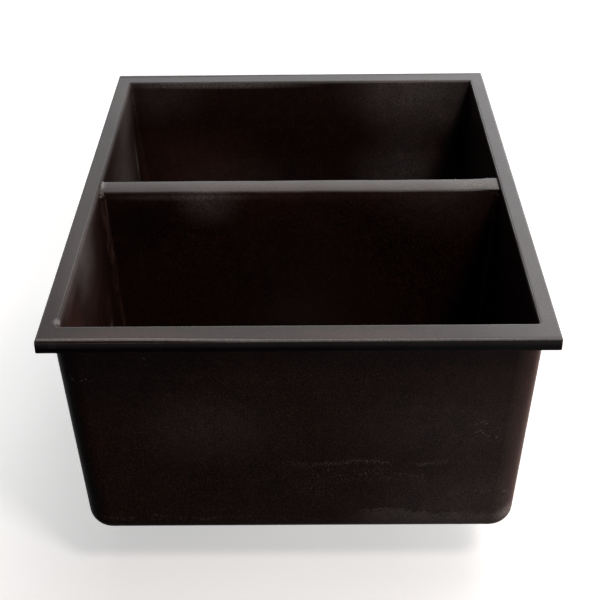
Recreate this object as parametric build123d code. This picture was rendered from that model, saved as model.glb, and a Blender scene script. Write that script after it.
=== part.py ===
"""A double bowl kitchen sink: a moulded resin tub, a bonded divider and two basket strainers.

Millimetres, +Z up. The origin is the centre of the rim's underside, where a worktop's top
surface would be. +X runs along the sink's length, from the left bowl to the right bowl, and
+Y runs across it to the back.
"""
from build123d import *
from math import radians, tan
import os

# ---- Driving dimensions -------------------------------------------------------------
# Tub and rim
rim_length = 610.0
rim_width = 457.0
rim_depth = 11.5  # height of the rim's square drop edge
overall_height = 246.0  # rim top to the tub's base
end_flange = 26.0  # rim's outer edge to the opening, at the two short ends
side_flange = 17.0  # the same along the two long sides
wall = 9.5
floor_thickness = 12.0
wall_draft = 3.2  # degrees that every tub wall leans inwards on its way down
rim_plan_radius = 2.0  # rim's four corners seen from above
rim_outer_round = 1.9  # top outer edge of the rim
rim_inner_round = 3.0  # top inner edge, where hands and water run over it
bowl_corner_top = 1.0  # bowl's upright inner corner, nearly square at the rim
bowl_floor_round = 12.0  # between a bowl's walls and its floor
bowl_corner_extra = 3.0  # upright inner corner at the floor, beyond the floor rounding
base_edge_radius = 20.0
outer_corner_extra = 4.0  # upright outer corner, beyond the base edge

# Divider
divider_thickness = 27.0
divider_drop = 4.0  # divider's top below the rim's top
divider_round = 4.5  # its two top edges
bond_size = 6.0  # legs of the resin bead in the divider's corners
bond_hollow_radius = 9.5  # of the bead's concave face
bond_end_gap = 0.5  # bead's upper end below the divider's rounded edge

# Drain opening in each bowl's floor
drain_hole_diameter = 90.0
floor_fall = 2.0  # how far the floor dips from its flat part to the recess
fall_margin = 12.0  # flat floor kept between the dip and the divider's bead
recess_clearance = 2.0  # recess wall to the strainer's flange

# Strainer cup
hole_clearance = 2.5  # drain hole to the cup
flange_reach = 12.0  # flange beyond the drain hole
flange_thickness = 1.5
flange_round = 1.0
cup_wall = 1.5
cup_depth = 50.0  # flange top to the cup's inner bottom
cup_mouth_round = 1.2
thread_pitch = 2.2
thread_depth = 0.6
thread_crest_share = 0.5  # of the pitch
thread_valley_share = 0.75  # where the groove is deepest
cup_thread_rise = 4.0  # thread begins this far above the tub's base
cup_thread_margin = 4.0  # plain wall below the thread

# Clamping stack under the floor
seal_thickness = 2.0
seal_edge_gap = 3.0  # seal's edge inside the flange's edge
stack_clearance = 0.5  # gasket and friction ring round the cup
gasket_thickness = 3.0
gasket_width = 13.0
friction_thickness = 1.0
friction_edge_gap = 1.0  # friction ring's edge inside the gasket's edge
thread_clearance = 0.15
locknut_height = 11.0
locknut_wall = 7.0
locknut_lugs = 8
lug_width = 12.0
lug_reach = 6.0
lug_height = 8.0

# Outlet spud
spud_diameter = 47.8  # outside of its thread
spud_wall = 3.9
spud_length = 22.0  # from the cup's underside to its lower end
spud_flange_reach = 7.0
spud_flange_thickness = 2.0
spud_plain_neck = 3.0  # between its flange and its thread
inlet_step = 1.0  # cup's inlet hole inside the spud's bore
spider_height = 3.0
spider_ring_width = 3.2
spider_spokes = 4
spoke_width = 2.6
spoke_bite = 1.0  # how far a spoke runs into the ring and the spud's wall

# Basket, its post, knob and stopper
running_gap = 0.3  # between pieces that move on each other
post_diameter = 8.0
post_tip_diameter = 9.0
post_tip_length = 8.0
post_tip_round = 2.7
collar_reach = 4.0
collar_height = 2.0
stopper_overlap = 5.5  # stopper's edge beyond the inlet hole
stopper_height = 5.5
stopper_lip = 1.6
stopper_step = 0.8
stopper_shoulder_share = 0.8  # of its radius, at the top of the lip
stopper_crown_share = 0.55  # of its radius, at its top
basket_wall = 1.2
basket_rim_clearance = 0.5  # basket's rim to the cup's bore
basket_rim_reach = 1.5  # rolled rim beyond the basket's wall
basket_taper = 8.0  # radius lost from the basket's top to its base
basket_sink = 4.9  # basket's rim below the strainer's flange top
knob_diameter = 27.0
knob_height = 11.0
knob_crown_round = 5.0
knob_under_round = 2.2
knob_rise = 1.0  # knob's underside above the basket's rim
knob_sleeve_wall = 2.0
side_slots = 20
side_slot_width = 3.0
slot_end_margin = 8.0  # basket wall left above and below a slot
base_hole_diameter = 5.0
base_hole_rings = ((8, 14.0), (14, 23.0))  # how many holes, and their ring's radius

# ---- Levels and sizes that follow ---------------------------------------------------
rim_top = rim_depth
base_level = rim_top - overall_height
floor_level = base_level + floor_thickness
slope = tan(radians(wall_draft))
opening_length = rim_length - 2 * end_flange
opening_width = rim_width - 2 * side_flange
bowl_depth = rim_top - floor_level
bowl_corner_floor = bowl_floor_round + bowl_corner_extra
outer_corner_radius = base_edge_radius + outer_corner_extra
divider_top = rim_top - divider_drop

flange_diameter = drain_hole_diameter + 2 * flange_reach
recess_depth = seal_thickness + flange_thickness
recess_diameter = flange_diameter + 2 * recess_clearance
recess_level = floor_level - floor_fall - recess_depth
floor_half_length = opening_length / 2 - bowl_depth * slope
drain_x = (floor_half_length + divider_thickness / 2) / 2
fall_radius = drain_x - divider_thickness / 2 - bond_size - fall_margin

cup_radius = drain_hole_diameter / 2 - hole_clearance
cup_bore = cup_radius - cup_wall
flange_top = floor_level - floor_fall
cup_floor = flange_top - cup_depth
cup_underside = cup_floor - cup_wall
gasket_low = base_level - gasket_thickness
friction_low = gasket_low - friction_thickness
spud_bore = spud_diameter / 2 - spud_wall
inlet_radius = spud_bore - inlet_step
spud_end = cup_underside - spud_length

post_radius = post_diameter / 2
tip_radius = post_tip_diameter / 2
guide_bore = tip_radius + running_gap
stopper_base = cup_floor + running_gap
stopper_top = stopper_base + stopper_height
collar_top = stopper_top + collar_height
basket_base = collar_top + running_gap
basket_top = flange_top - basket_sink
basket_height = basket_top - basket_base
basket_rim_radius = cup_bore - basket_rim_clearance
basket_top_radius = basket_rim_radius - basket_rim_reach
basket_base_radius = basket_top_radius - basket_taper
sleeve_base = basket_base + basket_wall + running_gap
knob_base = basket_top + knob_rise
knob_top = knob_base + knob_height
post_top = knob_base + knob_height / 2


# ---- Small builders -----------------------------------------------------------------
def disc(radius, low, high):
    """A plain upright cylinder between two levels."""
    return Pos(0, 0, low) * Cylinder(radius, high - low, align=(Align.CENTER, Align.CENTER, Align.MIN))


def ring(inner, outer, low, high):
    """An upright tube between two radii and two levels."""
    return disc(outer, low, high) - disc(inner, low, high)


def turned(points):
    """A solid of revolution from (radius, level) points, in order round the outline."""
    outline = Polyline(*[(r, 0, z) for r, z in points], close=True)
    return revolve(make_face(outline), Axis.Z)


def drafted_block(length, width, top_level, low_level, corner_top, corner_low):
    """A block whose walls lean in by the tub's draft. Length and width are at its top."""
    shrink = 2 * (top_level - low_level) * slope
    top = Pos(0, 0, top_level) * RectangleRounded(length, width, corner_top)
    low = Pos(0, 0, low_level) * RectangleRounded(length - shrink, width - shrink, corner_low)
    return loft([low, top], ruled=True)


def edges_at(part, level):
    """Every edge that lies in the plane of one level."""
    return part.edges().filter_by_position(Axis.Z, level - 0.01, level + 0.01)


def thread_outline(radius, top, low):
    """(radius, level) points down the thread crests and V grooves between two levels."""
    points = []
    for turn in range(int((top - low) / thread_pitch)):
        crest = top - turn * thread_pitch
        points.append((radius, crest))
        points.append((radius, crest - thread_pitch * thread_crest_share))
        points.append((radius - thread_depth, crest - thread_pitch * thread_valley_share))
        points.append((radius, crest - thread_pitch))
    return points[:1] + [p for i, p in enumerate(points) if i % 4]


def around(piece, count, start=0.0):
    """Copies of a piece, evenly turned about the vertical axis."""
    return [Rot(0, 0, start + 360 / count * i) * piece for i in range(count)]


# ---- Tub and divider ----------------------------------------------------------------
def bowl_space():
    """The whole inside of the tub, before the divider splits it."""
    space = drafted_block(
        opening_length, opening_width, rim_top, floor_level, bowl_corner_top, bowl_corner_floor
    )
    return fillet(edges_at(space, floor_level), bowl_floor_round)


def make_rim():
    """The flat frame round the opening, as a plain slab before the bowls are cut."""
    slab = extrude(RectangleRounded(rim_length, rim_width, rim_plan_radius), rim_depth)
    return fillet(edges_at(slab, rim_top), rim_outer_round)


def make_tub_outside():
    """The tub below the rim, drafted like the bowls so that its wall is even."""
    at_rim = 2 * (wall - rim_depth * slope)
    body = drafted_block(
        opening_length + at_rim,
        opening_width + at_rim,
        0,
        base_level,
        outer_corner_radius,
        outer_corner_radius,
    )
    return fillet(edges_at(body, base_level), base_edge_radius)


def drain_opening():
    """What is cut from a bowl's floor: a shallow dip, the flange's recess and the hole."""
    dip = turned(
        [
            (0, floor_level),
            (fall_radius, floor_level),
            (recess_diameter / 2, floor_level - floor_fall),
            (0, floor_level - floor_fall),
        ]
    )
    recess = disc(recess_diameter / 2, recess_level, floor_level)
    hole = disc(drain_hole_diameter / 2, base_level, floor_level)
    return dip + recess + hole


def make_tub():
    tub = make_rim() + make_tub_outside() - bowl_space()
    mouth = [edge for edge in edges_at(tub, rim_top) if is_in_opening(edge.center())]
    tub = fillet(mouth, rim_inner_round)
    for side in (-1, 1):
        tub = tub - Pos(side * drain_x, 0, 0) * drain_opening()
    return tub


def is_in_opening(point):
    """Whether a point is on or inside the opening's edge, seen from above."""
    return abs(point.X) < (opening_length + wall) / 2 and abs(point.Y) < (opening_width + wall) / 2


def make_divider():
    """The slab between the bowls, cut to the tub's own walls, floor and floor rounding."""
    height = divider_top - floor_level
    slab = Pos(0, 0, floor_level) * Box(
        divider_thickness, rim_width, height, align=(Align.CENTER, Align.CENTER, Align.MIN)
    )
    panel = slab & bowl_space()
    long_edges = edges_at(panel, divider_top).filter_by(Axis.Y)
    return fillet(long_edges, divider_round)


def make_bond():
    """The concave resin bead down one side wall, across the floor and up the other wall."""
    face_x = divider_thickness / 2
    bead_top = divider_top - divider_round - bond_end_gap
    half_top = opening_width / 2 - (rim_top - bead_top) * slope
    half_floor = opening_width / 2 - bowl_depth * slope
    path = FilletPolyline(
        (face_x, half_top, bead_top),
        (face_x, half_floor, floor_level),
        (face_x, -half_floor, floor_level),
        (face_x, -half_top, bead_top),
        radius=bowl_floor_round,
    )
    start = Plane(origin=path @ 0, x_dir=(1, 0, 0), z_dir=path % 0)
    corner = Polyline((0, bond_size), (0, 0), (bond_size, 0))
    hollow = RadiusArc((bond_size, 0), (0, bond_size), bond_hollow_radius)
    return sweep(start * make_face(corner + hollow), path=path)


# ---- One strainer, built about the vertical axis through its drain hole ---------------
def make_strainer_body():
    """The flanged cup. Its outside carries the thread that the locknut climbs."""
    flange_low = flange_top - flange_thickness
    outline = [
        (cup_bore, flange_top),
        (flange_diameter / 2, flange_top),
        (flange_diameter / 2, flange_low),
        (cup_radius, flange_low),
    ]
    outline += thread_outline(
        cup_radius, base_level + cup_thread_rise, cup_underside + cup_thread_margin
    )
    outline += [
        (cup_radius, cup_underside),
        (inlet_radius, cup_underside),
        (inlet_radius, cup_floor),
        (cup_bore, cup_floor),
    ]
    body = turned(outline)
    body = fillet(edges_at(body, flange_top).sort_by(SortBy.LENGTH)[-1], flange_round)
    return fillet(edges_at(body, flange_top).sort_by(SortBy.LENGTH)[0], cup_mouth_round)


def make_outlet_spud():
    """The threaded outlet, with the spider that guides the basket's post."""
    flange_radius = spud_diameter / 2 + spud_flange_reach
    flange_low = cup_underside - spud_flange_thickness
    outline = [
        (spud_bore, cup_underside),
        (flange_radius, cup_underside),
        (flange_radius, flange_low),
        (spud_diameter / 2, flange_low),
    ]
    outline += thread_outline(spud_diameter / 2, flange_low - spud_plain_neck, spud_end)
    outline += [(spud_diameter / 2, spud_end), (spud_bore, spud_end)]
    spider_low = cup_underside - spider_height
    hub = ring(guide_bore, guide_bore + spider_ring_width, spider_low, cup_underside)
    spoke_start = guide_bore + spider_ring_width - spoke_bite
    spoke = Pos(spoke_start, 0, spider_low) * Box(
        spud_bore + spoke_bite - spoke_start,
        spoke_width,
        spider_height,
        align=(Align.MIN, Align.CENTER, Align.MIN),
    )
    spud = turned(outline) + hub
    for arm in around(spoke, spider_spokes, 180 / spider_spokes):
        spud = spud + arm
    return spud


def make_locknut():
    """A ring nut with square lugs, so that it can be driven round with a spanner or a drift."""
    low = friction_low - locknut_height
    bore = cup_radius + thread_clearance
    nut = disc(bore + locknut_wall, low, friction_low)
    lug = Pos(bore, 0, low) * Box(
        locknut_wall + lug_reach, lug_width, lug_height, align=(Align.MIN, Align.CENTER, Align.MIN)
    )
    for arm in around(lug, locknut_lugs):
        nut = nut + arm
    return nut - disc(bore, low, friction_low)


def make_basket_cup():
    """The tapered, rolled-rim basket with slots in its side and holes in its base."""
    hub = post_radius + running_gap
    lean = basket_taper / basket_height
    cup = turned(
        [
            (hub, basket_base),
            (basket_base_radius, basket_base),
            (basket_top_radius, basket_top),
            (basket_top_radius - basket_wall, basket_top),
            (basket_base_radius - basket_wall * (1 - lean), basket_base + basket_wall),
            (hub, basket_base + basket_wall),
        ]
    )
    cup = cup + ring(
        basket_top_radius - basket_wall, basket_rim_radius, basket_top - basket_wall, basket_top
    )
    slot = Pos(basket_top_radius - basket_taper / 2, 0, basket_base + basket_height / 2) * Box(
        2 * basket_taper, side_slot_width, basket_height - 2 * slot_end_margin
    )
    cutters = around(slot, side_slots)
    for count, radius in base_hole_rings:
        hole = Pos(radius, 0, basket_base) * Cylinder(base_hole_diameter / 2, 4 * basket_wall)
        cutters += around(hole, count)
    return cup - cutters


def make_basket_post():
    """The turned post: a rounded tip in the spider, a rod, and the collar that carries the basket."""
    tip_low = cup_floor - post_tip_length
    tip = disc(tip_radius, tip_low, stopper_base)
    tip = fillet(edges_at(tip, tip_low), post_tip_round)
    rod = disc(post_radius, stopper_base, post_top)
    collar = disc(post_radius + collar_reach, stopper_top, collar_top)
    return tip + rod + collar


def make_basket_knob():
    """A domed knob with a long sleeve that reaches down to just above the basket's base."""
    head = disc(knob_diameter / 2, knob_base, knob_top)
    head = fillet(edges_at(head, knob_top), knob_crown_round)
    head = fillet(edges_at(head, knob_base), knob_under_round)
    sleeve = disc(post_radius + knob_sleeve_wall, sleeve_base, knob_base)
    return sleeve + head - disc(post_radius, sleeve_base, post_top)


def make_basket_stopper():
    """A rubber disc with a flexible lip that covers the inlet when the basket is pushed down."""
    outer = inlet_radius + stopper_overlap
    return turned(
        [
            (post_radius, stopper_base),
            (outer, stopper_base),
            (outer, stopper_base + stopper_lip),
            (outer * stopper_shoulder_share, stopper_base + stopper_lip + stopper_step),
            (outer * stopper_crown_share, stopper_top),
            (post_radius, stopper_top),
        ]
    )


def strainer_pieces():
    """The ten pieces of one strainer, by name."""
    hole = drain_hole_diameter / 2
    stack_bore = cup_radius + stack_clearance
    gasket_edge = stack_bore + gasket_width
    return {
        "strainer_body": make_strainer_body(),
        "outlet_spud": make_outlet_spud(),
        "flange_seal": ring(
            hole, flange_diameter / 2 - seal_edge_gap, recess_level, recess_level + seal_thickness
        ),
        "drain_gasket": ring(stack_bore, gasket_edge, gasket_low, base_level),
        "friction_ring": ring(stack_bore, gasket_edge - friction_edge_gap, friction_low, gasket_low),
        "locknut": make_locknut(),
        "basket_cup": make_basket_cup(),
        "basket_post": make_basket_post(),
        "basket_knob": make_basket_knob(),
        "basket_stopper": make_basket_stopper(),
    }


def make_all():
    """Every piece of the sink by name, in place."""
    bond = make_bond()
    pieces = {
        "sink_tub": make_tub(),
        "divider_panel": make_divider(),
        "divider_bond_right": bond,
        "divider_bond_left": mirror(bond, about=Plane.YZ),
    }
    strainer = strainer_pieces()
    for side_name, side in (("left", -1), ("right", 1)):
        for name, piece in strainer.items():
            pieces[f"{side_name}_{name}"] = Pos(side * drain_x, 0, 0) * piece
    return pieces


def main():
    os.makedirs("parts", exist_ok=True)
    for name, piece in make_all().items():
        export_step(piece, f"parts/{name}.step")
    print("drain centres at x", round(drain_x, 3), "and the mirror of it")
    print("floor", round(floor_level, 3), "base", round(base_level, 3), "recess", round(recess_level, 3))
    print("cup floor", round(cup_floor, 3), "spud end", round(spud_end, 3))
    print("basket", round(basket_base, 3), "to", round(basket_top, 3), "knob top", round(knob_top, 3))


main()
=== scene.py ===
# %% [markdown]
# # A double bowl kitchen sink
#
# The real sink is a tub moulded in black-brown resin, with a resin panel glued across it to make
# two bowls, and a basket strainer clamped into each bowl's floor. The shapes come from the CAD
# frame. This script gives them their finishes, adds the hand work that a mould can't leave, and
# lights them. Everything is in metres, with +Z up, +X to the right bowl and +Y to the back. The
# camera looks along the sink from its right end. So the near wall is the one at +X, and the
# picture's left and right are the sink's front and back.

# %% Load the frame
import functools
import math

import bmesh
import bpy
from mathutils import Matrix, Vector, noise


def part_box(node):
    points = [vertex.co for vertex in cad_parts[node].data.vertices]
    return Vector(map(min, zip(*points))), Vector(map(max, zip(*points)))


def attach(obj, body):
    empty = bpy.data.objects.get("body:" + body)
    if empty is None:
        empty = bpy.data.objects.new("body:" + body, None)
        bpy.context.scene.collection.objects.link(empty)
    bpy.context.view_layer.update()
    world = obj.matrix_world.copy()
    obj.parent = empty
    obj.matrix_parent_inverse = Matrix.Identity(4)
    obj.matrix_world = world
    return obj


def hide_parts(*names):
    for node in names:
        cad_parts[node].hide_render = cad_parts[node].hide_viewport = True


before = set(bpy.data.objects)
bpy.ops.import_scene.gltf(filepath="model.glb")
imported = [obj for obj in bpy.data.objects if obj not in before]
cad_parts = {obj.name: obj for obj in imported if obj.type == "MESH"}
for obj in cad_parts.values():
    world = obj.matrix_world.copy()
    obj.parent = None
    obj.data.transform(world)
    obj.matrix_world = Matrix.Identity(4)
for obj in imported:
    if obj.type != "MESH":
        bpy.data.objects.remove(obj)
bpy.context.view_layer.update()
MM = 0.001

# %% [markdown]
# ## Writing a finish as a sum
#
# A finish is easier to read as a formula than as a web of nodes. The class below stands for one
# output of a node. A sum on numbers adds Math nodes, and one on points adds Vector Math nodes.
# Every other kind of node comes from its one method, `node`.


# %% Shader sums
class Wire:
    """One output of a shader node."""

    def __init__(self, socket):
        self.socket = socket

    def node(self, kind, settings=None, inputs=None, out=0):
        """Adds a node of a type: first its settings, then its inputs' values or links."""
        made = self.socket.id_data.nodes.new(kind)
        for name, value in (settings or {}).items():
            setattr(made, name, value)
        for name, value in (inputs or {}).items():
            feed(made.inputs[name], value)
        return Wire(made.outputs[out])

    def is_vector(self):
        return self.socket.type in ("VECTOR", "RGBA")

    def work(self, operation, *terms):
        """A Math node, or a Vector Math node where a term is a point."""
        wide = any(isinstance(t, tuple) or isinstance(t, Wire) and t.is_vector() for t in terms)
        if wide:
            terms = [t if isinstance(t, (Wire, tuple)) else (t, t, t) for t in terms]
        kind = "ShaderNodeVectorMath" if wide else "ShaderNodeMath"
        return self.node(kind, {"operation": operation}, dict(enumerate(terms)))

    def __add__(self, other):
        return self.work("ADD", self, other)

    def __radd__(self, other):
        return self.work("ADD", other, self)

    def __sub__(self, other):
        return self.work("SUBTRACT", self, other)

    def __rsub__(self, other):
        return self.work("SUBTRACT", other, self)

    def __mul__(self, other):
        return self.work("MULTIPLY", self, other)

    def __rmul__(self, other):
        return self.work("MULTIPLY", other, self)

    def __abs__(self):
        return self.work("ABSOLUTE", self)

    def over(self, other):
        """The larger of two values."""
        return self.work("MAXIMUM", self, other)

    def rise(self, low, high):
        """0 at low, 1 at high, and a smooth step between them. High may be below low."""
        edges = {"Value": self, "From Min": low, "From Max": high}
        return self.node("ShaderNodeMapRange", {"interpolation_type": "SMOOTHSTEP"}, edges)

    def axis(self, name):
        """The X, Y or Z of a point."""
        return self.node("ShaderNodeSeparateXYZ", inputs={"Vector": self}, out=name)

    def length(self):
        """How far a point is from the origin."""
        return self.node("ShaderNodeVectorMath", {"operation": "LENGTH"}, {0: self}, "Value")

    def dot(self, other):
        """How far a point lies along a direction, times the direction's length."""
        terms = {0: self, 1: other}
        return self.node("ShaderNodeVectorMath", {"operation": "DOT_PRODUCT"}, terms, "Value")

    def noise(self, size, detail=3.0, roughness=0.55, warp=0.0, out="Fac"):
        """Cloudy noise over a point, with lumps of about this size in metres."""
        settings = {"Vector": self, "Scale": 1 / size, "Detail": detail}
        settings |= {"Roughness": roughness, "Distortion": warp}
        return self.node("ShaderNodeTexNoise", inputs=settings, out=out)

    def cells(self, size, out="Distance"):
        """Rounded cells of about this size: the distance to each one's middle, or its colour."""
        settings = {"Vector": self, "Scale": 1 / size}
        return self.node("ShaderNodeTexVoronoi", inputs=settings, out=out)

    def patch(self, centre, reach):
        """1 at a centre, and 0 beyond its reach along X, Y and Z."""
        away = (self - centre) * tuple(1 / r for r in reach)
        return away.length().rise(1.0, 0.0)


def feed(socket, value):
    """Links a wire to a socket, or sets the socket to a plain value."""
    if isinstance(value, Wire):
        socket.id_data.links.new(value.socket, socket)
    else:
        socket.default_value = value


def rgb(red, green, blue):
    return (red, green, blue, 1.0)


def blend(factor, first, second):
    """first where the factor is 0, second where it is 1. Both are colours."""
    # a Mix node has a set of sockets for each kind of value: its colours go in at 6 and 7
    terms = {0: factor, 6: first, 7: second}
    return factor.node("ShaderNodeMix", {"data_type": "RGBA"}, terms, out=2)


print("shader sums ready")


# %% Starting and ending a finish
def begin_finish(name):
    """A new material: its shader, and the place on the object that its patterns follow."""
    material = bpy.data.materials.new(name)
    material.use_nodes = True
    tree = material.node_tree
    place = Wire(tree.nodes.new("ShaderNodeTexCoord").outputs["Object"])
    return material, tree.nodes["Principled BSDF"], place


def end_finish(shader, colour, roughness, height=None, depth=0.0, **others):
    """Feeds the shader. A height of 1 makes a bump of this depth."""
    feeds = {"Base Color": colour, "Roughness": roughness}
    feeds |= {name.replace("_", " "): value for name, value in others.items()}
    if height is not None:
        bump = {"Height": height, "Distance": depth}
        feeds["Normal"] = height.node("ShaderNodeBump", inputs=bump)
    for name, value in feeds.items():
        feed(shader.inputs[name], value)


def add_object(name, data):
    """A new object in the scene, at the origin."""
    made = bpy.data.objects.new(name, data)
    bpy.context.scene.collection.objects.link(made)
    return made


print("helpers ready")

# %% [markdown]
# ## The camera
#
# The photograph looks down the sink's length from its right end. Its vanishing points give the
# camera's place, its tilt and how long its lens is, so the render's frame can lie on the
# photograph's to within a pixel.

# %% Camera
camera_place = Vector((1.22916, 0.01038, 0.62407))
pitch, yaw, roll = (math.radians(a) for a in (31.7225, -0.5162, -0.6445))
lens_pixels = 1287.03
image_pixels = 600

level = math.cos(pitch)
ahead = Vector((-math.cos(yaw) * level, math.sin(yaw) * level, -math.sin(pitch)))
right = Vector((math.sin(yaw), math.cos(yaw), 0))
up = right.cross(ahead)
right, up = (
    math.cos(roll) * right + math.sin(roll) * up,
    math.cos(roll) * up - math.sin(roll) * right,
)
camera_data = bpy.data.cameras.new("camera")
camera_data.sensor_width = 36.0
camera_data.lens = lens_pixels / image_pixels * camera_data.sensor_width
camera = add_object("camera", camera_data)
turn = Matrix((right, up, -ahead)).transposed().to_4x4()
camera.matrix_world = Matrix.Translation(camera_place) @ turn
bpy.context.scene.camera = camera
print("camera lens", round(camera_data.lens, 2), "mm, at", tuple(round(c, 3) for c in camera_place))

# %% [markdown]
# ## The floor
#
# The floor is one plain, pale face at the level of the drains' lowest point. It isn't seen in
# reflections and throws no light back, because the ground that the real sink's walls mirror was
# dark. The lower half of the sky stands in for that ground.

# %% Floor
floor_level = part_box("left_outlet_spud")[0].z
floor_half = 12.0
floor_corners = [(-1, -1), (1, -1), (1, 1), (-1, 1)]
floor_points = [(x * floor_half, y * floor_half, floor_level) for x, y in floor_corners]
floor_mesh = bpy.data.meshes.new("floor")
floor_mesh.from_pydata(floor_points, [], [(0, 1, 2, 3)])
floor = add_object("floor", floor_mesh)
floor.visible_glossy = False
floor.visible_diffuse = False

floor_finish, shader, place = begin_finish("pale_floor")
cloud = place.noise(0.4)
end_finish(
    shader,
    blend(cloud, rgb(0.78, 0.78, 0.78), rgb(0.82, 0.82, 0.82)),
    cloud * 0.1 + 0.8,
    Specular_IOR_Level=0.1,
    Emission_Color=rgb(1, 1, 1),
    Emission_Strength=0.5,
)
floor_mesh.materials.append(floor_finish)
print("floor at", round(floor_level, 4))

# %% [markdown]
# ## The sky
#
# Dark gloss is mostly what it reflects. The light on the real sink is darkest in front, which is
# the picture's left. It has one bright patch a little to the back of the middle, is dim on the
# camera's side, and comes red off the ground at the back. A picture of a sky could be wrapped
# round the scene, but it would have to be the right one. A few smooth steps over the direction do
# the same, and each can be set by itself. The camera sees none of it: to it the sky is plain and
# nearly white.

# %% Sky
scene = bpy.context.scene
scene.view_settings.view_transform = "Standard"
world = bpy.data.worlds.new("studio")
scene.world = world
world.use_nodes = True
sky = world.node_tree.nodes["Background"]
facing = Wire(world.node_tree.nodes.new("ShaderNodeTexCoord").outputs["Generated"])
seen = Wire(world.node_tree.nodes.new("ShaderNodeLightPath").outputs["Is Camera Ray"])
across, along, height = facing.axis("Y"), facing.axis("X"), facing.axis("Z")

# from front to back, with a band low in the sky that is dimmer on both sides of the middle
bright_patch = across.rise(0.10, 0.27) - across.rise(0.28, 0.45)
side_glow = 0.03 + 1.32 * across.rise(-0.45, -0.08) + 3.5 * bright_patch
low_band = height.rise(0.44, 0.36) * height.rise(0.20, 0.32)
low_shade = 0.50 * across.rise(0.10, 0.15) + 0.28 * across.rise(0.03, -0.05)
side_glow = side_glow * (1 - low_band * low_shade)

# from the horizon up, from the far side to the near one, and what the ground gives back
level_glow = 1.5 - 0.6 * height.rise(0.2, 0.42) - 0.75 * height.rise(0.55, 0.75)
far_glow = 1 - 0.88 * along.rise(-0.2, 0.5)
top_glow = 3.6 * height.rise(0.78, 0.90) * along.rise(0.15, -0.15) * across.rise(-0.3, 0.2)
far_ground = along.rise(-0.1, -0.7) * (0.15 + 0.52 * across.rise(-0.1, 0.3))
ground_glow = 0.02 + 0.25 * across.rise(-0.1, 0.6) + far_ground
above_ground = side_glow * level_glow * far_glow - ground_glow
glow = height.rise(-0.03, 0.1) * above_ground + ground_glow + top_glow
feed(sky.inputs["Strength"], seen + (1 - seen) * glow)

sky_colour = blend(height.rise(0.5, 0.36), rgb(1, 0.98, 0.97), rgb(0.97, 0.985, 1))
red_ground = (along.rise(0.2, -0.3) * across.rise(0.0, 0.25)).over(across.rise(0.3, 0.55))
red_ground = red_ground * height.rise(0.06, -0.06) * (1 - seen)
feed(sky.inputs["Color"], blend(red_ground, sky_colour, rgb(1, 0.68, 0.61)))
print("sky set")

# %% [markdown]
# ## The lamps
#
# Three soft square lamps add what a sky can't. A small one, high beyond the near end and towards
# the back, throws the slanting shade in the bowls' back corners. Two large ones, low at the back
# and warm as light off reddish ground, graze the tub's rounded corner and its back wall.


# %% Lamps
def soft_lamp(name, place, aim, size, watts, colour):
    """A square lamp facing a point."""
    lamp = bpy.data.lights.new(name, "AREA")
    lamp.size = size
    lamp.energy = watts
    lamp.color = colour
    made = add_object(name, lamp)
    made.location = place
    made.rotation_euler = (Vector(aim) - Vector(place)).to_track_quat("-Z", "Y").to_euler()


soft_lamp("key_lamp", (1.3, 0.8, 1.75), (0, 0, -0.1), 0.4, 17, (1.0, 0.90, 0.84))
soft_lamp("corner_lamp", (1.3, 1.7, 0.1), (0.2, 0.1, -0.1), 0.8, 6, (1.0, 0.82, 0.74))
soft_lamp("side_lamp", (-0.4, 1.9, -0.15), (0.1, 0.2, -0.12), 0.8, 12, (1.0, 0.72, 0.6))
print("lamps set")

# %% [markdown]
# ## The tub's resin
#
# The tub is cast in a black-brown resin. Close to, it isn't one colour: there are clouds where
# the mix was a little redder or greyer, and a fine salt of mineral specks. Its skin has an
# orange-peel texture from the mould and long, shallow waves from shrinking as it cured, which
# bend what the gloss reflects. Each of these is one line of noise, at its own size in metres.

# %% Resin body
skin_depth = 0.6 * MM


def resin_body(place):
    """The cast resin's colour, roughness and skin, before dust and wear."""
    cloud = place.noise(90 * MM, 2.0).rise(0.35, 0.65)
    mottle = place.noise(14 * MM, 5.0, 0.65)
    specks = place.noise(1.1 * MM, 1.0).rise(0.56, 0.67)
    dark = blend(cloud, rgb(0.0045, 0.0005, 0.0002), rgb(0.0095, 0.0012, 0.0005))
    body = blend(mottle.rise(0.45, 0.75), dark, rgb(0.0130, 0.0021, 0.0009))
    colour = blend(specks * 0.75, body, rgb(0.052, 0.019, 0.013))
    roughness = 0.29 + 0.12 * mottle + 0.07 * specks
    peel = place.noise(3.2 * MM, 3.0)
    wave = place.noise(60 * MM, 1.0)
    return colour, roughness, peel * 0.16 + wave * 2.0 + specks * 0.012


print("resin body ready, with bumps of", round(skin_depth / MM, 2), "mm")
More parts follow.
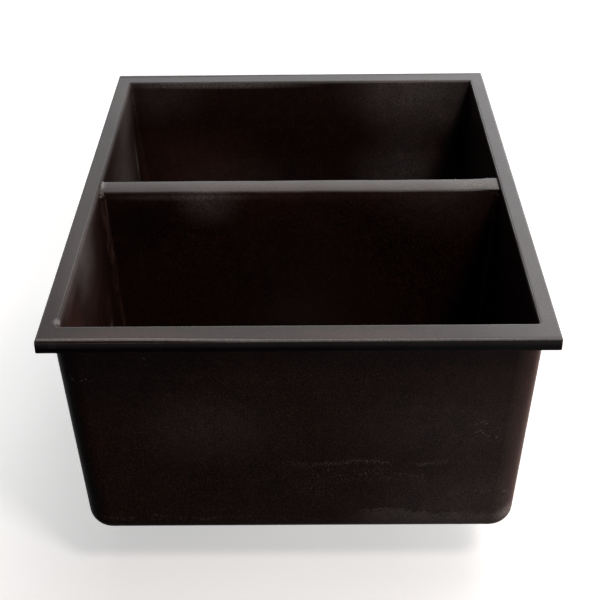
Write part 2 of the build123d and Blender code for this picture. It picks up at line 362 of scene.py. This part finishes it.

# %% [markdown]
# ## Films of dust and soil, and painted light and shade
#
# A sink that has stood in a yard is never clean. Hard water dries on it as a grey film and mud as a
# red-brown one. Not all of the grey films are dust. Some are painted light: pale patches that stand
# for the sheen, highlights and reflections on the bowls' walls, the divider and the rim. The dark
# patches are painted shade, which makes the resin blackest high on the divider's near side and
# under the rim on the near wall. A film is a mask that fades a colour in over the resin, and the
# grey ones roughen it as well. Such masks are often painted on an image, which needs an unwrapped
# mesh.
# Here each is a soft egg-shaped patch in space, which has its real size and costs one line: where
# its centre is, how far it reaches along X, Y and Z, and how strong it is. Noise breaks the sum of
# them up.

# %% Films
# Partly dust and partly painted light. The patches high on the divider's near side and on the
# bowls' walls paint their sheen and the light on them. Those on the rim and along the divider's top
# edge paint reflections, and the strong small one at the opening's near front corner is a painted
# highlight.
dust_and_painted_light_films = [
    ((0.0135, -0.097, -0.002), (0.02, 0.046, 0.040), 0.14),  # divider's near side, high
    ((0.0135, 0.150, -0.005), (0.02, 0.090, 0.060), 0.05),
    ((-0.278, 0.150, 0.000), (0.03, 0.120, 0.090), 0.24),  # left bowl's end wall, high
    ((-0.273, 0.130, -0.110), (0.03, 0.090, 0.070), 0.16),  # and lower down
    ((-0.278, -0.170, -0.005), (0.03, 0.070, 0.050), 0.06),
    ((-0.220, -0.213, 0.000), (0.10, 0.012, 0.050), 0.16),  # left bowl's front wall, high
    ((-0.273, -0.080, -0.130), (0.03, 0.150, 0.060), 0.05),  # left bowl's end wall, low
    ((0.160, -0.213, 0.004), (0.16, 0.012, 0.018), 0.16),  # right bowl's front wall, high
    ((0.130, -0.212, -0.040), (0.13, 0.012, 0.060), 0.05),
    ((-0.150, -0.209, -0.080), (0.14, 0.014, 0.110), 0.22),  # left bowl's front wall
    ((0.2715, -0.2135, 0.0105), (0.0075, 0.0055, 0.007), 0.9),  # opening's near front corner
    ((0.040, -0.222, 0.0115), (0.22, 0.014, 0.010), 0.07),  # rim, front
    ((0.240, 0.222, 0.0115), (0.14, 0.030, 0.010), 0.13),  # rim, back
    ((-0.290, 0.120, 0.0115), (0.02, 0.070, 0.010), 0.05),  # rim, left end
    ((-0.2785, -0.100, 0.0075), (0.02, 0.150, 0.006), 0.38),  # left end wall, under the rim
    ((0.128, -0.210, -0.016), (0.070, 0.012, 0.036), 0.18),  # right bowl's front wall
    ((0.066, -0.204, -0.128), (0.022, 0.012, 0.009), 0.20),
    ((-0.245, -0.206, -0.085), (0.010, 0.012, 0.045), 0.30),  # left bowl's front corner
    ((0.0135, -0.120, 0.0015), (0.02, 0.110, 0.006), 0.12),  # divider's top edge
]
red_films = [
    ((0.300, -0.140, 0.0115), (0.02, 0.110, 0.010), 0.26),  # rim, near end
    ((0.300, 0.050, 0.0115), (0.02, 0.110, 0.010), 0.22),
    ((0.000, 0.000, 0.002), (0.02, 0.400, 0.012), 0.42),  # divider's top
    ((-0.273, -0.140, -0.100), (0.03, 0.130, 0.070), 0.24),  # left bowl's end wall
    ((0.060, -0.205, -0.105), (0.030, 0.012, 0.036), 0.16),  # right bowl's front wall
    ((0.235, -0.208, -0.060), (0.07, 0.012, 0.100), 0.50),
    ((0.130, -0.209, -0.070), (0.12, 0.014, 0.120), 0.14),
]
# Painted shade: these darken the resin high on the divider's near side and high on the near wall's
# outside, under the rim's overhang.
painted_shade_patches = [
    ((0.0135, -0.170, -0.025), (0.02, 0.060, 0.050), 0.8),  # divider's near side
    ((0.286, -0.170, -0.048), (0.04, 0.110, 0.050), 0.6),  # near wall, outside
]
# Partly dust and partly painted light: the films grow towards the back of the near wall, where
# light from that side fell, and the patch at the front paints a reflection.
near_wall_dust_and_painted_light = [  # all on the near wall, outside
    ((0.283, -0.086, -0.100), (0.04, 0.095, 0.060), 0.05),
    ((0.280, 0.130, -0.100), (0.05, 0.130, 0.060), 0.04),
    ((0.280, 0.230, -0.120), (0.05, 0.200, 0.150), 0.05),
    ((0.276, 0.170, -0.205), (0.04, 0.150, 0.080), 0.10),
    ((0.266, 0.201, -0.212), (0.03, 0.017, 0.014), 0.50),
]


def film(place, patches):
    """Several soft patches added together and broken up by cloudy noise."""
    total = sum(place.patch(centre, reach) * strength for centre, reach, strength in patches)
    return total * (0.45 + 1.1 * place.noise(28 * MM, 5.0, 0.6))


print(len(dust_and_painted_light_films) + len(red_films), "films in the bowls and on the rim,")
print(len(near_wall_dust_and_painted_light), "on the near wall")

# %% [markdown]
# ## Chalk lines and scratches
#
# Rain splashed lime up the lower wall, and it dried in a broken line where each splash stopped. So
# the height above a waving waterline is worked out first. What lies within a few millimetres of
# nought is the line, what lies below it may be drips, and noise breaks both into specks. A scratch
# is a chain of straight strokes. A stroke is whatever lies close enough to its nearest point, and
# noise shakes it, as a hand would.


# %% Chalk and scratches
def lapped(place, level, swing, middle, period):
    """How far above a waving waterline on the near wall a point is."""
    turns = (place.axis("Y") - middle) * (math.tau / period)
    waver = (place.noise(18 * MM, 3.0) - 0.5) * (10 * MM)
    return place.axis("Z") + waver - level - turns.work("COSINE", turns) * swing


def chalk_line(place, above, width):
    """A broken line of chalk specks where the height above a waterline is nought."""
    specks = place.noise(1.6 * MM, 3.0, 0.65).rise(0.51, 0.61)
    breaks = place.noise(20 * MM, 2.0).rise(0.38, 0.54)
    return abs(above).rise(width, 0.0) * (specks * breaks)


def stroke(place, first, last, width):
    """A straight line between two (Y, Z) points on the near wall, as a mask."""
    start = (0.0, *first)
    run = Vector((0.0, *last)) - Vector(start)
    spot = place - start
    share = spot.dot(run / run.length_squared)
    share = share.node("ShaderNodeClamp", inputs={"Value": share})
    return (spot - share * tuple(run)).length().rise(width, 0.2 * width)


def scratches(place, chains):
    """Fine bent scratches on the near wall, shaky and worn through in places."""
    shake = place.noise(6 * MM, 3.0, 0.5, out="Color") - 0.5
    flat = (place + shake * (5 * MM)) * (0, 1, 1)
    pairs = [pair for chain in chains for pair in zip(chain, chain[1:])]
    strokes = [stroke(flat, first, last, 0.9 * MM) for first, last in pairs]
    return functools.reduce(Wire.over, strokes) * place.noise(3.4 * MM, 3.0, 0.7).rise(0.46, 0.60)


near_wall_scratches = [
    # each is a chain of (Y, Z) points
    [(-0.2050, -0.0370), (-0.2035, -0.0435), (-0.1985, -0.0460), (-0.1900, -0.0400)],
    [(-0.1400, -0.0160), (-0.1340, -0.0200), (-0.1360, -0.0260)],
    [(0.1620, -0.0980), (0.1690, -0.0925), (0.1700, -0.0970), (0.1800, -0.0920)],
    [(0.1610, -0.1070), (0.1680, -0.1040), (0.1730, -0.1110), (0.1840, -0.1120)],
    [(0.1650, -0.1795), (0.1710, -0.1812), (0.1830, -0.1795)],
    [(0.1940, -0.1810), (0.1990, -0.1835)],
]
print(len(near_wall_scratches), "scratches")

# %% [markdown]
# ## Which side of a wall
#
# A wall is thin, so a mask that only knows a place would show on both of its sides. The surface's
# direction tells them apart: on the outside of the tub it points away from the middle, so its
# product with the place is large, and on the inside it is below zero.


# %% Outer walls
def facing_out(place):
    """Masks for all the outer walls, and for the near one alone."""
    normal = place.node("ShaderNodeNewGeometry", out="Normal")
    outward = (normal * (1, 1, 0)).dot(place).rise(0.10, 0.15)
    below_rim = place.axis("Z").rise(0.002, 0.0)
    return outward, normal.axis("X").rise(0.2, 0.6) * outward * below_rim


print("outer walls can be told apart")

# %% [markdown]
# ## Lime, dust, soil and painted light in their places
#
# On the near wall, lime dried along three lines: one where rain splashed up, one over the tide
# mark at the foot, and a faint one low at the front. Dust and soil lie grain by grain, so each
# film, painted light among them, is multiplied by a fine noise. The other outer walls hardly show
# in the photograph. They get faint streaks, which run down the wall because their noise is
# stretched in height.


# %% Lime on the near wall
def near_wall_lime(place):
    """The chalk lines on the near wall, and the tide mark low at its back."""
    across = place.axis("Y")
    back_half = across.rise(-0.04, 0.03)
    splash = lapped(place, -0.1435, 2 * MM, 0.060, 86 * MM)
    drips = splash.rise(0.0, -8 * MM) * splash.rise(-60 * MM, -30 * MM)
    drips = drips * place.noise(1.6 * MM, 2.0).rise(0.58, 0.66)
    drips = drips * place.noise(22 * MM, 2.0).rise(0.42, 0.58)
    splash_chalk = chalk_line(place, splash, 5 * MM).over(drips * 0.6) * back_half
    splash_chalk = splash_chalk * (0.25 + 0.75 * across.rise(0.155, 0.125))

    hill = 15 * MM * across.rise(0.035, 0.082) - 8 * MM * across.rise(0.092, 0.112)
    foot = lapped(place, -0.2155, 1 * MM, 0.050, 60 * MM) - hill
    foot_chalk = chalk_line(place, foot, 2.5 * MM) * (0.30 + 0.70 * across.rise(0.025, 0.060))
    tide = foot.rise(1 * MM, -4 * MM) * across.rise(0.03, 0.09)

    low = lapped(place, -0.2125, 2 * MM, -0.140, 90 * MM)
    low_chalk = chalk_line(place, low, 2 * MM) * (1 - back_half)
    low_chalk = low_chalk * (0.40 + 0.60 * across.rise(-0.120, -0.155))
    return splash_chalk.over(foot_chalk).over(low_chalk), tide


print("lime ready")


# %% Dust and soil
def dust_painted_light_and_soil(place, tide, outward, near_wall):
    """How dusty, how painted with light and how muddy each place is, on the walls and on the rim.
    """
    inward = 1 - outward
    grain = 0.5 + place.noise(1.3 * MM, 1.0).rise(0.38, 0.64)
    streaks = (place * (1, 1, 0.07)).noise(16 * MM, 4.0, 0.6).rise(0.48, 0.72)
    streaks = streaks * place.noise(120 * MM, 2.0).rise(0.40, 0.62) * (outward - near_wall)
    salt = place.noise(1.0 * MM, 1.0).rise(0.55, 0.68)
    dust_and_painted_light = grain * (near_wall * (film(place, near_wall_dust_and_painted_light) + 0.11 * tide) + 0.07 * streaks)
    dust_and_painted_light = dust_and_painted_light + 0.05 * salt * near_wall + grain * inward * film(place, dust_and_painted_light_films)
    smears = 0.5 + (place * (1, 1, 0.12)).noise(9 * MM, 3.0)
    return dust_and_painted_light, grain * smears * inward * film(place, red_films)


print("dust and soil ready")

# %% [markdown]
# ## The rim
#
# The rim's sharp edge is rubbed to a rougher thread, and towards the front the near edge is worn
# rounder. The thread is coloured a lighter grey, which is partly wear and partly a painted
# highlight of the rounded edge. Dirt lies in a fine line beside it, soap has dulled the opening's
# front lip, and the drop face is wiped glossy. Its colour is painted reflection and shade: lighter
# grey at its top and near black at its foot. The rim's top has less orange peel than the walls. All
# of these are masks over how far a place is past the rim's ends and sides and above its top, which
# the CAD's
# box gives. The roundness is only a bump: it is too shallow to need a mesh of its own.

# %% Rim
rim_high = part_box("sink_tub")[1]
opening_lip = -212.5 * MM
near_edge_wear = 3.5 * MM
wear_radius = 5 * MM


def rim_masks(place):
    """The rim's top, rubbed edge with its painted highlight and drop face, and the dirt, soap and
    roundness beside them.
    """
    across, height = place.axis("Y"), place.axis("Z")
    above = height - rim_high.z
    past_end = abs(place.axis("X")) + near_edge_wear * across.rise(0.02, -0.16) - rim_high.x
    on_side = (abs(across) - rim_high.y).rise(-2.5 * MM, -1.0 * MM)

    top = above.rise(-0.7 * MM, -0.2 * MM) * past_end.rise(-1.0 * MM, -3.0 * MM)
    on_edge = past_end.rise(-2.8 * MM, -1.0 * MM) * past_end.rise(2.5 * MM, 0.5 * MM)
    rubbed_and_highlight = on_edge.over(on_side) * above.rise(-1.7 * MM, -0.9 * MM)
    rubbed_and_highlight = rubbed_and_highlight * (0.5 + 0.5 * place.noise(2.6 * MM, 3.0).rise(0.42, 0.66))
    drop = past_end.rise(-2.5 * MM, -1.0 * MM).over(on_side)
    drop = drop * height.rise(0.0, 0.8 * MM) * above.rise(-1.3 * MM, -2.3 * MM)
    dirt = abs(past_end + 3.0 * MM).rise(1.2 * MM, 0.4 * MM) * above.rise(-0.5 * MM, -0.1 * MM)
    soap = abs(across - opening_lip).rise(5 * MM, 2 * MM)
    soap = soap * above.rise(-8.5 * MM, -4.5 * MM) * above.rise(0.0, -0.3 * MM)
    worn = past_end.over(0.0) * above.rise(-2.5 * MM, -1.0 * MM)
    return {"top": top, "rubbed_and_highlight": rubbed_and_highlight, "drop": drop, "dirt": dirt, "soap": soap, "worn": worn}


print("rim ends at", tuple(round(v, 4) for v in rim_high))

# %% [markdown]
# ## The resin's whole finish
#
# The finish is the body with the films, painted shade and painted light, chalk, scratches and worn
# edges laid over it in turn, so it is written as a list of coats: a mask, and the colour that it
# lays on. Sand still lies in the corner where the divider meets the back wall.


# %% Resin finish
def resin_finish(name):
    material, shader, place = begin_finish(name)
    colour, roughness, skin = resin_body(place)
    outward, near_wall = facing_out(place)
    chalk, tide = near_wall_lime(place)
    dust_and_painted_light, soil = dust_painted_light_and_soil(place, tide, outward, near_wall)
    marks = scratches(place, near_wall_scratches)
    sand = place.patch((0.000, 0.190, 0.008), (0.015, 0.034, 0.005))
    sand = sand * place.noise(1.6 * MM, 2.0).rise(0.48, 0.60)
    rim = rim_masks(place)
    # Painted reflection and shade: the drop face is coloured lighter grey at its top and near black
    # at its foot.
    drop_painted_light_share = place.axis("Z").rise(3 * MM, 9.5 * MM)
    drop_painted_light_and_shade = blend(drop_painted_light_share, rgb(0.0008, 0.0004, 0.0004), rgb(0.022, 0.020, 0.021))

    coats = [
        # painted shade, laid first
        (film(place, painted_shade_patches), rgb(0.003, 0.0004, 0.0002)),
        (soil, rgb(0.12, 0.052, 0.038)),
        # dust, with painted light from the grey and near-wall films
        (dust_and_painted_light, rgb(0.27, 0.245, 0.245)),
        (rim["drop"] * 0.95, drop_painted_light_and_shade),
        (rim["dirt"] * 0.4, rgb(0.045, 0.016, 0.012)),
        (sand * 0.4, rgb(0.42, 0.28, 0.16)),
        (near_wall * (chalk * 0.22).over(marks * 0.26), rgb(0.42, 0.38, 0.36)),
        # the rubbed edge's light grey is partly wear and partly a painted highlight of the rounded
        # edge
        (rim["rubbed_and_highlight"] * 0.6, rgb(0.21, 0.205, 0.205)),
    ]
    for mask, coat in coats:
        colour = blend(mask, colour, coat)
    roughness = roughness + 0.5 * dust_and_painted_light + 0.25 * rim["rubbed_and_highlight"] + 0.3 * (rim["dirt"] + rim["soap"])
    roughness = roughness - 0.16 * rim["drop"] - 0.06 * rim["top"]
    # an arc drops away from its tangent by the distance squared over twice its radius
    roundness = rim["worn"] * rim["worn"] * (1 / (2 * wear_radius) / skin_depth)
    skin = skin * (1 - 0.7 * rim["top"]) + 0.05 * rim["rubbed_and_highlight"] + 0.1 * chalk - roundness
    end_finish(shader, colour, roughness, skin, skin_depth, IOR=1.5)
    return material


resin = resin_finish("tub_resin")
print("resin finish:", resin.name, "with", len(resin.node_tree.nodes), "nodes")

# %% [markdown]
# ## The divider, finished by hand
#
# The divider is a panel cut to fit and glued in. Its back end is sawn square and stops just short
# of the wall, which leaves a thin dark gap, and its edges there were never rounded. Its top isn't
# quite straight. A swept mesh shows this better than the CAD slab, so this one stands in for it: a
# row of cross-sections along Y, each an outline of the same number of points, joined by faces.
# The walls lean, so a point's share of the way along is turned into a distance at its own level.

# %% The bowl's own shape
slope = math.tan(math.radians(3.2))
bowl_floor = -222.5 * MM
floor_round = 12 * MM
opening_half = 211.5 * MM


def bowl_half_width(level):
    """Half the bowl's width at a level, down to its rounded floor."""
    under = min(floor_round, max(0.0, bowl_floor + floor_round - level))
    leaned_in = opening_half - (rim_high.z - level) * slope
    return leaned_in - floor_round + math.sqrt(floor_round**2 - under**2)


def smooth(value, low, high):
    """0 at low, 1 at high, and a smooth step between them."""
    share = min(1.0, max(0.0, (value - low) / (high - low)))
    return share * share * (3 - 2 * share)


def join_rings(maker, rings):
    """Faces from each ring of corners to the next, and one over each end."""
    for first, second in zip(rings, rings[1:]):
        for k in range(len(first)):
            after = (k + 1) % len(first)
            maker.faces.new((first[k], first[after], second[after], second[k]))
    maker.faces.new(list(reversed(rings[0])))
    maker.faces.new(rings[-1])


print("bowl is", round(2 * bowl_half_width(bowl_floor) / MM, 1), "mm wide at its floor")

# %% [markdown]
# The outline has straight sides and a rounded top. Its radius and its crest vary a little with
# noise over the share of the length, which is -1 at the front and 1 at the back. Stations are
# closer together towards both ends, where the shape changes most.

# %% Divider mesh
divider_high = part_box("divider_panel")[1]
half_thickness = divider_high.x
top_level = divider_high.z
wall_steps = 12
arc_steps = 6
divider_stations = 120
gap = 0.6 * MM


def divider_outline(share):
    """(x, z) points round the divider at a share of its length, from -1 to 1."""
    squared = smooth(share, 0.90, 0.96)
    radius = (2.4 - 1.4 * squared + 0.4 * noise.noise((share * 9, 3, 0))) * MM
    crest = top_level + 0.25 * MM * noise.noise((share * 3, 0, 0))
    crest = crest + 0.8 * MM * smooth(share, 0.82, 0.98)
    side = crest - radius - bowl_floor
    near = [(half_thickness, bowl_floor + side * (k / wall_steps)) for k in range(wall_steps)]
    for k in range(arc_steps + 1):
        turn = math.pi / 2 * k / arc_steps
        inwards, downwards = radius * (1 - math.cos(turn)), radius * (1 - math.sin(turn))
        near.append((half_thickness - inwards, crest - downwards))
    return near + [(-x, z) for x, z in reversed(near)]


divider = bmesh.new()
rings = []
for station in range(divider_stations + 1):
    share = -math.cos(math.pi * station / divider_stations)
    ring = []
    for x, z in divider_outline(share):
        # the gap is open only near the top, and is a wedge that closes at the far side
        near_top = smooth(z, top_level - 16 * MM, top_level - 9 * MM)
        near_side = smooth(x, -half_thickness, half_thickness)
        y = share * bowl_half_width(z) - gap * smooth(share, 0.0, 1.0) * near_top * near_side
        lumps = 0.12 * MM * noise.noise((x * 90, share * 26, z * 90))
        ring.append(divider.verts.new((x + math.copysign(lumps, x), y, z)))
    rings.append(ring)
join_rings(divider, rings)
bmesh.ops.recalc_face_normals(divider, faces=divider.faces)
print("divider:", len(rings), "stations of", len(rings[0]), "points")


# %% Divider piece
def add_piece(name, mesh_maker, body, finish, smooth_angle=40):
    """A finished mesh becomes an object that rides on a body."""
    mesh = bpy.data.meshes.new(name)
    mesh_maker.to_mesh(mesh)
    mesh_maker.free()
    mesh.materials.append(finish)
    piece = add_object(name, mesh)
    for polygon in mesh.polygons:
        polygon.use_smooth = True
    mesh.set_sharp_from_angle(angle=math.radians(smooth_angle))
    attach(piece, body)
    print(name, len(mesh.polygons), "faces")
    return piece


divider_piece = add_piece("hand_cut_divider", divider, "sink", resin)
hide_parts("divider_panel")

# %% [markdown]
# ## Bonding resin
#
# Where the divider was glued in, the resin was smeared into the corners with a thumb. The beads
# down the corners are in the CAD. At the front end some was also drawn up over the divider's top
# onto the rim, which closes the gap that is open at the back end. The smear is a fillet with a
# hollow face: a row of sections across the divider, which shrink towards its two ends. On its near
# side a thumb's worth more fills the corner down to the bead: a ball drawn out and made lumpy by
# noise.


# %% Bond finish
def bond_finish(name):
    material, shader, place = begin_finish(name)
    colour, roughness, skin = resin_body(place)
    drag = (place * (1, 1, 0.25)).noise(4 * MM, 3.0)
    pale = blend(drag.rise(0.4, 0.7) * 0.5, colour, rgb(0.07, 0.034, 0.022))
    end_finish(shader, pale, roughness + 0.12 * drag, skin + 0.6 * drag, skin_depth, IOR=1.5)
    return material


bond = bond_finish("bond_resin")
print("bond finish:", bond.name)

# %% Resin smear
smear_stations = 18
smear_arc_steps = 8
wall_rise, top_reach = 3.4 * MM, 7.5 * MM
bite, lip = 0.6 * MM, 0.85 * MM

smear = bmesh.new()
rings = []
for station in range(smear_stations + 1):
    share = -1 + 2 * station / smear_stations
    # it shrinks towards both ends and is a little uneven, and its foot droops at the ends
    size = math.sqrt(max(0.02, 1 - abs(share) ** 3)) * (1 + 0.2 * noise.noise((share * 2.2, 5, 0)))
    x = share * half_thickness * 0.98
    base = top_level - 0.8 * MM - 0.9 * MM * abs(share) ** 4
    wall_y = -bowl_half_width(base) - bite
    ring = [(wall_y, base - bite)]
    for k in range(smear_arc_steps + 1):
        turn = math.pi / 2 * k / smear_arc_steps
        reach = top_reach * size * (1 - math.sin(turn))
        lift = wall_rise * size * (1 - math.cos(turn))
        ring.append((wall_y + bite + reach, base + lip + lift))
    ring.append((wall_y, base + lip + wall_rise * size))
    rings.append([smear.verts.new((x, y, z)) for y, z in ring])
join_rings(smear, rings)

web_place = Vector((half_thickness + 0.8 * MM, -bowl_half_width(top_level), top_level - 4.2 * MM))
web_size = (4.6, 5.6, 5.4)
for corner in bmesh.ops.create_icosphere(smear, subdivisions=4, radius=1.0)["verts"]:
    lump = 1 + 0.22 * noise.noise(corner.co * 1.7 + Vector((0, 0, 9)))
    drawn_out = Vector([c * size for c, size in zip(corner.co, web_size)])
    corner.co = web_place + drawn_out * lump * MM
bmesh.ops.recalc_face_normals(smear, faces=smear.faces)
add_piece("resin_smear", smear, "sink", bond, 60)

# %% [markdown]
# ## Strainer steel
#
# Each strainer is spun from stainless sheet and brushed while it turns, so its scratches are
# rings round the drain's axis. Noise over a point made of the radius and the height, instead of
# X, Y and Z, gives rings. Hard water leaves round dried drops on it, which are the rims of
# Voronoi cells. The knobs are the same steel, polished.

# %% Metals
drain_x = 139.709 * MM


def ring_place(place):
    """A point made of the distance from the nearer drain's axis and of the height."""
    from_axis = {0: abs(place.axis("X")) - drain_x, 1: place.axis("Y")}
    radius = place.node("ShaderNodeCombineXYZ", inputs=from_axis).length()
    return place.node("ShaderNodeCombineXYZ", inputs={0: radius, 2: place.axis("Z")})


def steel_finish(name, light, dark, base_roughness, brushing):
    material, shader, place = begin_finish(name)
    rings_at = ring_place(place)
    brushed = rings_at.noise(0.5 * MM, 2.0)
    broad = rings_at.noise(5 * MM, 2.0)
    drops = place.cells(9 * MM)
    dried = drops.rise(0.30, 0.36) * drops.rise(0.42, 0.36)
    dried = dried * place.noise(25 * MM, 2.0).rise(0.5, 0.62)
    smudge = place.noise(18 * MM, 4.0, 0.6).rise(0.4, 0.7)
    tone = blend(brushed * 0.6 + broad * 0.4, rgb(*light), rgb(*dark))
    colour = blend(dried * 0.35, tone, rgb(0.75, 0.74, 0.70))
    roughness = base_roughness + 0.14 * smudge + 0.25 * dried + 0.12 * (brushed - 0.5)
    end_finish(shader, colour, roughness, brushed * brushing + dried * 0.3, 0.06 * MM, Metallic=1.0)
    return material


steel = steel_finish("stainless", (0.64, 0.63, 0.61), (0.46, 0.455, 0.445), 0.2, 1.0)
chrome = steel_finish("knob_steel", (0.74, 0.74, 0.73), (0.64, 0.64, 0.635), 0.07, 0.25)
print("steel finishes:", steel.name, chrome.name)

# %% [markdown]
# ## Brass spud and zinc locknut
#
# The spud is turned brass: bright on the thread crests, and brown where the air has got at it.
# The locknut is a zinc casting. Its skin has the spangle of large crystals, a sandy grain from
# the mould and a little white bloom where it has been wet. The bloom isn't metal, so the metal
# fades out under it.


# %% Brass and zinc
def brass_finish(name):
    material, shader, place = begin_finish(name)
    turned = ring_place(place).noise(0.35 * MM, 2.0)
    tarnish = place.noise(12 * MM, 5.0, 0.65).rise(0.42, 0.68)
    colour = blend(tarnish, rgb(0.66, 0.47, 0.20), rgb(0.26, 0.15, 0.06))
    spots = place.noise(2.5 * MM, 2.0).rise(0.66, 0.72)
    colour = blend(spots * 0.6, colour, rgb(0.10, 0.13, 0.08))
    roughness = 0.24 + 0.25 * tarnish + 0.1 * turned
    end_finish(shader, colour, roughness, turned + 0.4 * tarnish, 0.08 * MM, Metallic=1.0)
    return material


def zinc_finish(name):
    material, shader, place = begin_finish(name)
    spangle = place.cells(5 * MM, "Color").axis("X")
    grain = place.noise(0.9 * MM, 2.0)
    bloom = place.noise(15 * MM, 5.0, 0.65).rise(0.52, 0.7)
    colour = blend(spangle, rgb(0.33, 0.34, 0.35), rgb(0.46, 0.47, 0.48))
    colour = blend(bloom * 0.7, colour, rgb(0.62, 0.62, 0.60))
    roughness = 0.36 + 0.12 * spangle + 0.3 * bloom
    metal = 1 - 0.8 * bloom
    end_finish(shader, colour, roughness, grain + 0.5 * bloom, 0.15 * MM, Metallic=metal)
    return material


brass = brass_finish("spud_brass")
zinc = zinc_finish("nut_zinc")
print("brass and zinc finishes:", brass.name, zinc.name)

# %% [markdown]
# ## Rubber, putty and fibre
#
# The gasket and the stopper are moulded rubber, dusty and slightly bloomed. The seal under the
# flange is a soft grey compound that keeps finger dents. The friction ring is pressed fibre,
# whose strands lie flat, so its noise is squeezed in height.


# %% Soft finishes
def rubber_finish(name):
    material, shader, place = begin_finish(name)
    bloom = place.noise(9 * MM, 5.0, 0.65).rise(0.4, 0.7)
    pits = place.noise(0.8 * MM, 2.0)
    colour = blend(bloom, rgb(0.016, 0.016, 0.017), rgb(0.042, 0.041, 0.040))
    end_finish(shader, colour, 0.42 + 0.3 * bloom, pits + 0.3 * bloom, 0.12 * MM, IOR=1.5)
    return material


def putty_finish(name):
    material, shader, place = begin_finish(name)
    dents = place.noise(6 * MM, 2.0, 0.5, 0.6)
    grit = place.noise(0.7 * MM, 2.0).rise(0.6, 0.75)
    colour = blend(dents.rise(0.35, 0.65), rgb(0.27, 0.25, 0.22), rgb(0.38, 0.35, 0.31))
    colour = blend(grit * 0.4, colour, rgb(0.18, 0.16, 0.14))
    end_finish(shader, colour, 0.55 + 0.2 * dents, dents + 0.15 * grit, 0.8 * MM)
    return material


def fibre_finish(name):
    material, shader, place = begin_finish(name)
    strands = (place * (1, 1, 6)).noise(1.6 * MM, 5.0, 0.7, 1.5)
    stain = place.noise(20 * MM, 3.0).rise(0.45, 0.7)
    colour = blend(strands.rise(0.3, 0.7), rgb(0.36, 0.26, 0.16), rgb(0.56, 0.45, 0.31))
    colour = blend(stain * 0.4, colour, rgb(0.22, 0.16, 0.10))
    end_finish(shader, colour, 0.78 + 0.15 * strands, strands, 0.25 * MM)
    return material


rubber = rubber_finish("black_rubber")
putty = putty_finish("seal_putty")
fibre = fibre_finish("fibre")
print("soft finishes:", rubber.name, putty.name, fibre.name)

# %% [markdown]
# ## A finish for every piece
#
# The other pieces keep their CAD shapes, so a finish is all that they need. Both strainers are
# alike, so one table does for the two: it says which word in a piece's name calls for which
# finish.

# %% Finish every piece of the frame
finishes = {
    "sink_tub": resin,
    "divider_panel": resin,
    "divider_bond": bond,
    "strainer_body": steel,
    "basket_cup": steel,
    "basket_post": steel,
    "basket_knob": chrome,
    "outlet_spud": brass,
    "locknut": zinc,
    "flange_seal": putty,
    "drain_gasket": rubber,
    "basket_stopper": rubber,
    "friction_ring": fibre,
}
for name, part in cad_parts.items():
    finish = next(f for word, f in finishes.items() if word in name)
    part.data.materials.clear()
    part.data.materials.append(finish)
print(len(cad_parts), "pieces finished")
